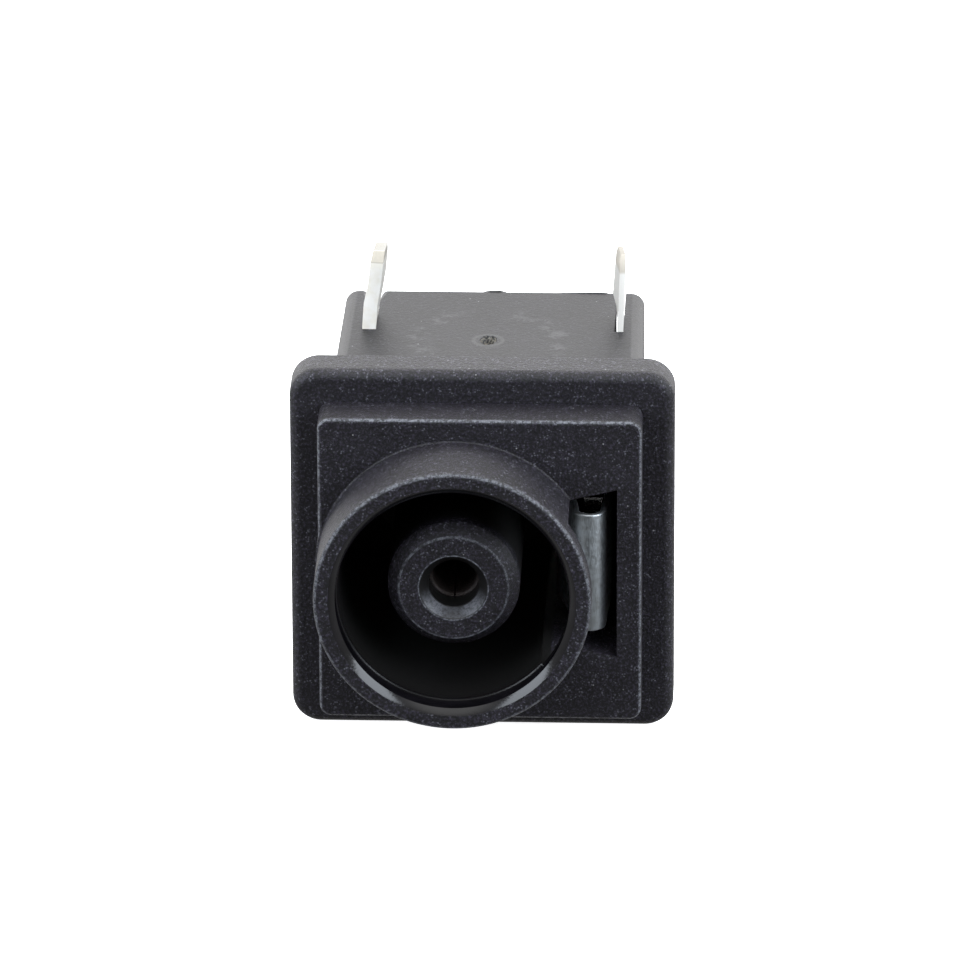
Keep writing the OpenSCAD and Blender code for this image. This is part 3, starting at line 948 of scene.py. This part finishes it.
def ragged_rings(levels, wobble, seed, place):
    """A closed solid through uneven rings of (half width, half length, height), placed by a function."""
    chance = random.Random(seed)
    count = 28
    uneven = [1 + chance.uniform(-wobble, wobble) for _ in range(count)]
    rings = []
    for half_width, half_length, height in levels:
        ring = []
        for i in range(count):
            angle = 2 * math.pi * i / count
            reach = uneven[i] + chance.uniform(-wobble, wobble) / 3
            across = half_width * reach * math.cos(angle)
            ring.append(place(across, half_length * reach * math.sin(angle), height))
        rings.append(ring)
    return close_rings(rings)


def moulding_pit():
    """The ragged pit in the middle of the board face."""

    def place(across, along, height):
        return (FLANGE_MID_X + across, PIT_Y + along, BOARD_FACE_Z + height)

    levels = ((0.24, 0.33, CUT), (0.21, 0.30, 0.0), (0.18, 0.26, -0.06), (0.12, 0.17, -0.15))
    return ragged_rings(levels, 0.12, 5, place)


def gate_stub(s):
    """The low stub left by the gate, on the rear face just below the board face."""
    aside, below = 0.06, 0.255

    def place(across, along, height):
        return (FLANGE_MID_X + aside + across, s.body_rear + height, BOARD_FACE_Z - below + along)

    levels = ((0.54, 0.27, -0.05), (0.54, 0.27, 0.03), (0.5, 0.26, 0.065), (0.34, 0.16, 0.076))
    return ragged_rings(levels, 0.03, 9, place)


def edge_flash(s):
    """A thin sliver of flash that stands on the rear edge of the board face."""
    edge = s.body_rear - s.rear_round
    base = BOARD_FACE_Z - 0.03
    rings = []
    for x, height in ((2.35, 0.002), (2.7, 0.01), (3.05, 0.02), (3.35, 0.022), (3.46, 0.014), (3.52, 0.002)):
        crest = [(x, edge - 0.01, BOARD_FACE_Z + height), (x, edge + 0.02, BOARD_FACE_Z + height * 0.9)]
        rings.append([(x, edge - 0.06, base), *crest, (x, edge + 0.03, base)])
    return close_rings(rings)


class JACK_OT_housing(bpy.types.Operator):
    """Build the black moulded housing"""

    bl_idname = "jack.housing"
    bl_label = "Housing"

    def execute(self, context):
        settings = context.scene.jack_housing
        s = in_millimetres(settings)
        c = in_millimetres(context.scene.jack_contacts)
        piece = housing_outside(s)
        shape_with(piece, "DIFFERENCE", plug_cavity(s), *channel_cuts(s, c))
        shape_with(piece, "UNION", post_solid(s))
        shape_with(piece, "DIFFERENCE", pin_passage(s), *rear_cuts(s, c))
        sleeve_slot_x = s.channel_wall - c.sleeve_slot_width / 2
        mouths = (
            slot_mouth(-c.pin_tail_x, c.pin_slot_width, (0.6, 1.0), s, c),
            slot_mouth(sleeve_slot_x, c.sleeve_slot_width, (0.6, 0.2), s, c),
        )
        shape_with(piece, "DIFFERENCE", *mouths, moulding_pit())
        shape_with(piece, "UNION", gate_stub(s), edge_flash(s))
        break_edges(piece, s.edge_break)
        finish_piece(piece, moulded_plastic(settings), "housing")
        return {"FINISHED"}


def ribbon(path, thickness, low, high):
    """A strip of sheet that stands on edge along a path in plan, from height low to high."""
    left, right = [], []
    for i, point in enumerate(path):
        before = Vector(path[max(i - 1, 0)])
        after = Vector(path[min(i + 1, len(path) - 1)])
        along = (after - before).normalized()
        side = Vector((-along.y, along.x)) * thickness / 2
        left.append((*(Vector(point) + side), low))
        right.append((*(Vector(point) - side), low))
    return pushed(left + right[::-1], (0, 0, 0), (0, 0, high - low))


def blade(levels):
    """A solder tail through levels of (height, middle x, front y, rear y, thickness, twist)."""
    rings = []
    for height, x, front, rear, thickness, twist in levels:
        turn = Matrix.Rotation(twist, 2)
        middle = Vector((x, (front + rear) / 2))
        ring = []
        for side, end in ((-1, -1), (1, -1), (1, 1), (-1, 1)):
            corner = middle + turn @ Vector((side * thickness / 2, end * (rear - front) / 2))
            ring.append((*corner, height))
        rings.append(ring)
    return close_rings(rings)

def pin_contact_solid(s, c):
    """Socket, plate, riser and folded leg of the pin contact."""
    floor = s.body_rear - c.recess_depth
    back = floor + c.sheet
    front = RIM_Y + s.post_recess + s.sink_depth + s.pin_hole_land
    outer = c.socket_radius + c.sheet
    lip = 0.05
    rooted = 0.1
    left = -c.pin_tail_x - c.sheet / 2
    right = left + c.riser_width
    fold_x = left + c.fold_radius
    reach = c.plate_radius
    outline = [(x, 0, z) for x, z in arc((0, 0), reach, -90, 90, steps=32)]
    outline += [(right, 0, reach), (right, 0, c.leg_top), (fold_x, 0, c.leg_top), (fold_x, 0, -reach)]
    piece = new_piece("pin_contact", pushed(outline, (0, floor, 0), (0, c.sheet, 0)))
    socket = turned(
        [
            (0, back - rooted),
            (outer, back - rooted),
            (outer, front + lip),
            (outer - lip, front),
            (c.socket_radius + lip, front),
            (c.socket_radius, front + lip),
            (c.socket_radius, floor + rooted),
            (0, floor + rooted),
        ],
        SMALL_ROUND_STEPS,
    )
    path = [(fold_x + rooted, back - c.sheet / 2)]
    path += arc((fold_x, back - c.fold_radius), c.fold_radius - c.sheet / 2, 90, 180)
    path += [(left + c.sheet / 2, c.slot_front)]
    shape_with(piece, "UNION", socket, ribbon(path, c.sheet, c.leg_bottom, c.leg_top))
    half_seam = c.seam_width / 2
    seam_end = floor - 0.02
    seam = block((-half_seam, front - CUT, -outer - CUT), (half_seam, seam_end, 0))
    shape_with(piece, "DIFFERENCE", seam)
    return piece


def leaning_blade(middle_x, lean, c, levels):
    """A blade that leans sideways above the bend, with a shift from that line at each level."""
    tilt = math.tan(lean)
    placed = []
    for height, shift, *rest in levels:
        placed.append((height, middle_x + tilt * max(height - c.bend_height, 0.0) + shift, *rest))
    return blade(placed)


def pin_tail(c, lean):
    bend, tip = c.bend_height, BOARD_FACE_Z + c.tail_reach
    front, rear = c.slot_front, c.slot_front + c.tail_width
    twist = math.radians(-4.5)
    levels = [
        (c.leg_bottom, 0.0, front, rear, c.sheet, 0.0),
        (BOARD_FACE_Z - 0.3, 0.0, front, rear, c.sheet, 0.0),
        (BOARD_FACE_Z - 0.1, 0.0, front, rear, c.sheet + 0.035, 0.0),
        (bend, 0.0, front, rear, c.sheet + 0.04, 0.0),
        (bend + 0.2, 0.0, front, rear, c.sheet + 0.045, twist / 3),
        (bend + 0.6, 0.0, front, rear, c.sheet + 0.045, twist),
        (bend + 0.6 + 0.5, 0.02, front, rear, c.sheet + 0.03, twist),
        (tip - 0.45, 0.01, front, rear, c.sheet + 0.02, twist),
        (tip - 0.22, 0.0, front, rear - 0.1, c.sheet + 0.02, twist),
        (tip, 0.0, front + 0.26, front + 0.26 + c.tip_width - 0.09, c.sheet - 0.01, twist),
    ]
    return leaning_blade(-c.pin_tail_x, lean, c, levels)


def sleeve_tail(s, c, lean):
    bend, tip = c.bend_height, BOARD_FACE_Z + c.tail_reach
    front, rear = c.slot_front, c.slot_front + c.tail_width
    twist = math.radians(9)
    levels = [
        (0.0, 0.0, front, rear, c.strip, 0.0),
        (BOARD_FACE_Z, 0.0, front, rear, c.strip, 0.0),
        (bend + 0.2, -0.03, front, rear, c.strip, twist / 3),
        (bend + 0.55, -0.08, front, rear, c.strip, twist),
        (tip - 0.45, -0.08, front + 0.03, rear - 0.2, c.strip, twist),
        (tip - 0.15, -0.08, front + 0.1, front + 0.1 + c.tip_width, c.strip, twist),
        (tip, -0.07, front + 0.18, front + 0.05 + c.tip_width, c.strip - 0.03, twist),
    ]
    return leaning_blade(s.channel_wall - c.strip / 2, lean, c, levels)


class JACK_OT_pin_contact(bpy.types.Operator):
    """Build the pin contact with its socket, plate and solder tail"""

    bl_idname = "jack.pin_contact"
    bl_label = "Pin contact"

    def execute(self, context):
        settings = context.scene.jack_contacts
        s = in_millimetres(context.scene.jack_housing)
        c = in_millimetres(settings)
        piece = pin_contact_solid(s, c)
        shape_with(piece, "UNION", pin_tail(c, settings.pin_tail_lean))
        break_edges(piece, CONTACT_EDGE)
        finish_piece(piece, tin_plate(settings), "centre_contact")
        return {"FINISHED"}


def strip_nodes(material):
    """Nodes that stand a strip of sheet on edge along a curve."""
    tree = bpy.data.node_groups.new("Strip on edge", "GeometryNodeTree")
    face = tree.interface
    face.new_socket("Geometry", in_out="INPUT", socket_type="NodeSocketGeometry")
    for name in ("Thickness", "Height", "Rounding"):
        face.new_socket(name, in_out="INPUT", socket_type="NodeSocketFloat")
    face.new_socket("Geometry", in_out="OUTPUT", socket_type="NodeSocketGeometry")
    given = add_node(tree, "NodeGroupInput").outputs
    line = add_node(tree, "GeometryNodeSetCurveNormal", {"Curve": given["Geometry"]}, mode="Z_UP")
    sides = {"Width": given["Thickness"], "Height": given["Height"]}
    profile = add_node(tree, "GeometryNodeCurvePrimitiveQuadrilateral", sides)
    corners = {"Curve": profile.outputs["Curve"], "Radius": given["Rounding"], "Count": 4}
    rounded = add_node(tree, "GeometryNodeFilletCurve", corners, mode="POLY")
    curves = {"Curve": line.outputs["Curve"], "Profile Curve": rounded.outputs["Curve"]}
    sweep = add_node(tree, "GeometryNodeCurveToMesh", {**curves, "Fill Caps": True})
    real = add_node(tree, "GeometryNodeRealizeInstances", {"Geometry": sweep.outputs["Mesh"]})
    plated = {"Geometry": real.outputs["Geometry"], "Material": material}
    finish = add_node(tree, "GeometryNodeSetMaterial", plated)
    add_node(tree, "NodeGroupOutput", {"Geometry": finish.outputs["Geometry"]})
    return tree


def nodes_modifier(piece, tree, **values):
    """Adds the node tree to the piece and sets its named inputs by their identifiers."""
    modifier = piece.modifiers.new(tree.name, "NODES")
    modifier.node_group = tree
    for item in tree.interface.items_tree:
        if item.in_out == "INPUT" and item.name in values:
            modifier[item.identifier] = values[item.name]


def spring_path(s, c):
    """The strip's middle line in plan, from the end plate round the hairpin to the free end."""
    half = c.strip / 2
    wall = s.channel_wall - half
    fold = END_FOLD - half
    plate_y = s.body_rear - c.end_plate_inset - half
    bend = c.hairpin_radius - half
    bend_x = c.hairpin_reach - c.hairpin_radius
    bend_y = -s.boss_depth + c.hairpin_radius
    inner = bend_x - bend
    path = [(s.channel_wall - c.end_plate_width, plate_y)]
    path += arc((wall - fold, plate_y - fold), fold, 90, 0)
    path += [(wall, 4.6), (wall - 0.01, 4.0)]
    path += arc((bend_x, bend_y), bend, 0, -180, HAIRPIN_STEPS)
    shares = [step / LEG_STEPS for step in range(1, LEG_STEPS + 1)]
    for share in shares:
        eased = share * share * (3 - 2 * share)
        x = inner + (c.contact_x - inner) * eased
        path.append((x, bend_y + (c.contact_y - bend_y) * share))
    for share in shares:
        x = c.contact_x + (inner - c.contact_x) * share * share
        path.append((x, c.contact_y + (c.free_end - c.contact_y) * share))
    return path


def guide_line(name, points):
    """A curve through the points, for a nodes modifier to build on."""
    line = bpy.data.curves.new(name, "CURVE")
    line.dimensions = "3D"
    spline = line.splines.new("POLY")
    spline.points.add(len(points) - 1)
    for point, place in zip(spline.points, points):
        point.co = (*place, 1.0)
    guide = bpy.data.objects.new(name, line)
    bpy.context.scene.collection.objects.link(guide)
    return guide


class JACK_OT_sleeve_spring(bpy.types.Operator):
    """Build the sleeve spring with its hairpin bend and solder tail"""

    bl_idname = "jack.sleeve_spring"
    bl_label = "Sleeve spring"

    def execute(self, context):
        settings = context.scene.jack_contacts
        s = in_millimetres(context.scene.jack_housing)
        c = in_millimetres(settings)
        guide = guide_line("spring_line", [(x, y, -s.channel_drop) for x, y in spring_path(s, c)])
        material = nickel_plate(settings)
        sizes = {"Thickness": c.strip, "Height": c.strip_height, "Rounding": STRIP_ROUNDING}
        nodes_modifier(guide, strip_nodes(material), **sizes)
        context.view_layer.update()
        depsgraph = context.evaluated_depsgraph_get()
        mesh = bpy.data.meshes.new_from_object(guide.evaluated_get(depsgraph), depsgraph=depsgraph)
        bpy.data.objects.remove(guide)
        bm = bmesh.new()
        bm.from_mesh(mesh)
        bpy.data.meshes.remove(mesh)
        piece = new_piece("sleeve_spring_strip", bm)
        shape_with(piece, "UNION", sleeve_tail(s, c, settings.sleeve_tail_lean))
        break_edges(piece, SPRING_EDGE)
        finish_piece(piece, material, "sleeve_spring")
        return {"FINISHED"}


# ---------------------------------------------------------------- stage


def soft_lamp(name, place, width, height, power):
    """A soft lamp of the given size that shines from place towards the jack, in millimetres."""
    light = bpy.data.lights.new(name, "AREA")
    light.shape = "RECTANGLE"
    light.size = width * MM
    light.size_y = height * MM
    light.energy = power
    light.color = LAMP_TINT
    lamp = bpy.data.objects.new(name, light)
    lamp.location = Vector(place) * MM
    lamp.rotation_euler = (-Vector(place)).to_track_quat("-Z", "Y").to_euler()
    bpy.context.scene.collection.objects.link(lamp)


def studio_world(settings):
    """A bright tent round the jack with a dim opening in front and below, pale to look at."""
    world = bpy.data.worlds.new("studio")
    world.use_nodes = True
    tree = world.node_tree
    background = tree.nodes["Background"].inputs
    background["Color"].default_value = (1.0, 1.0, 1.0, 1.0)
    place = add_node(tree, "ShaderNodeTexCoord").outputs["Generated"]

    def field(direction, low, high, dim, bright):
        towards = add_node(tree, "ShaderNodeVectorMath", {0: place, 1: direction}, operation="DOT_PRODUCT")
        return smooth_range(tree, towards.outputs["Value"], low, high, dim, bright)

    strength = field(*OPENING, settings.tent_light, settings.opening_light)
    for lobe, bright in ((BACKDROP, settings.backdrop_light), (OVERHEAD, settings.overhead_light)):
        inputs = {0: strength, 1: field(*lobe, 0.0, bright)}
        strength = add_node(tree, "ShaderNodeMath", inputs, operation="ADD").outputs[0]
    seen = add_node(tree, "ShaderNodeLightPath").outputs["Is Camera Ray"]
    choose = add_node(tree, "ShaderNodeMix", {"Factor": seen, "A": strength, "B": 1.0})
    put(tree, choose.outputs["Result"], background["Strength"])
    return world


def studio_floor(settings):
    """The lit table, a little below the housing, which throws no light back on the jack."""
    half, gap, thickness = 1500.0, 0.01, 0.99
    corners = [(-half, -half, 0), (half, -half, 0), (half, half, 0), (-half, half, 0)]
    low = housing_low.z - gap - thickness
    floor = new_piece("floor", pushed(corners, (0, 0, low), (0, 0, thickness)))
    floor.data.transform(Matrix.Scale(MM, 4))
    floor.data.materials.append(stage_white(settings))
    floor.visible_diffuse = False
    floor.visible_glossy = False
    floor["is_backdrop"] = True


def studio_camera(settings, boss_depth):
    """The camera, which looks at a point set off from the barrel's root."""
    sizes = in_millimetres(settings)
    azimuth, elevation, roll = settings.camera_azimuth, settings.camera_elevation, settings.camera_roll
    level = math.cos(elevation)
    back = Vector((math.sin(azimuth) * level, -math.cos(azimuth) * level, math.sin(elevation)))
    right = Vector((math.cos(azimuth), math.sin(azimuth), 0.0))
    up = back.cross(right)
    turned_right = math.cos(roll) * right + math.sin(roll) * up
    turned_up = math.cos(roll) * up - math.sin(roll) * right
    root = Vector((0.0, -boss_depth, 0.0))
    aim = root + sizes.aim_right * turned_right + sizes.aim_up * turned_up
    data = bpy.data.cameras.new("camera")
    data.lens = data.sensor_width * sizes.camera_distance / sizes.view_width
    data.clip_start = 0.001
    camera = bpy.data.objects.new("camera", data)
    place = Matrix.Translation((aim + back * sizes.camera_distance) * MM)
    camera.matrix_world = place @ Matrix((turned_right, turned_up, back)).transposed().to_4x4()
    bpy.context.scene.collection.objects.link(camera)
    bpy.context.scene.camera = camera


class JACK_OT_stage(bpy.types.Operator):
    """Set the floor, the soft lamps and the camera"""

    bl_idname = "jack.stage"
    bl_label = "Stage"

    def execute(self, context):
        settings = context.scene.jack_stage
        studio_floor(settings)
        studio_camera(settings, in_millimetres(context.scene.jack_housing).boss_depth)
        context.scene.world = studio_world(settings)
        context.scene.view_settings.view_transform = "Standard"
        across, forward, up = LAMP_PLACE
        for name, side, share in (("left_lamp", -1, 1.0), ("right_lamp", 1, 1.1)):
            soft_lamp(name, (side * across, forward, up), *LAMP_SIZE, share * settings.side_power)
        return {"FINISHED"}


class JACK_PT_panel(bpy.types.Panel):
    """Lists the jack's pieces and the stage"""

    bl_idname = "JACK_PT_panel"
    bl_label = "DC Barrel Jack"
    bl_space_type = "VIEW_3D"
    bl_region_type = "UI"
    bl_category = "Jack"

    def draw(self, context):
        for group, steps in GROUPS:
            box = self.layout.box()
            for step in steps:
                box.operator(step.bl_idname)
            settings = getattr(context.scene, group)
            for key in settings.bl_rna.properties.keys():
                if key not in {"rna_type", "name"}:
                    box.prop(settings, key)


GROUPS = (
    ("jack_housing", (JACK_OT_housing,)),
    ("jack_contacts", (JACK_OT_pin_contact, JACK_OT_sleeve_spring)),
    ("jack_stage", (JACK_OT_stage,)),
)

CLASSES = (
    JackHousingSettings,
    JackContactSettings,
    JackStageSettings,
    JACK_OT_housing,
    JACK_OT_pin_contact,
    JACK_OT_sleeve_spring,
    JACK_OT_stage,
    JACK_PT_panel,
)


def register():
    for cls in CLASSES:
        bpy.utils.register_class(cls)
    bpy.types.Scene.jack_housing = bpy.props.PointerProperty(type=JackHousingSettings)
    bpy.types.Scene.jack_contacts = bpy.props.PointerProperty(type=JackContactSettings)
    bpy.types.Scene.jack_stage = bpy.props.PointerProperty(type=JackStageSettings)


def unregister():
    del bpy.types.Scene.jack_stage
    del bpy.types.Scene.jack_contacts
    del bpy.types.Scene.jack_housing
    for cls in reversed(CLASSES):
        bpy.utils.unregister_class(cls)


def main():
    register()
    bpy.ops.jack.stage()
    bpy.ops.jack.housing()
    bpy.ops.jack.pin_contact()
    bpy.ops.jack.sleeve_spring()
    boxes = {"cad": CAD_BOX, "visual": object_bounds()}
    plain = {name: [[float(n) for n in corner] for corner in box] for name, box in boxes.items()}


if __name__ == "__main__":
    main()
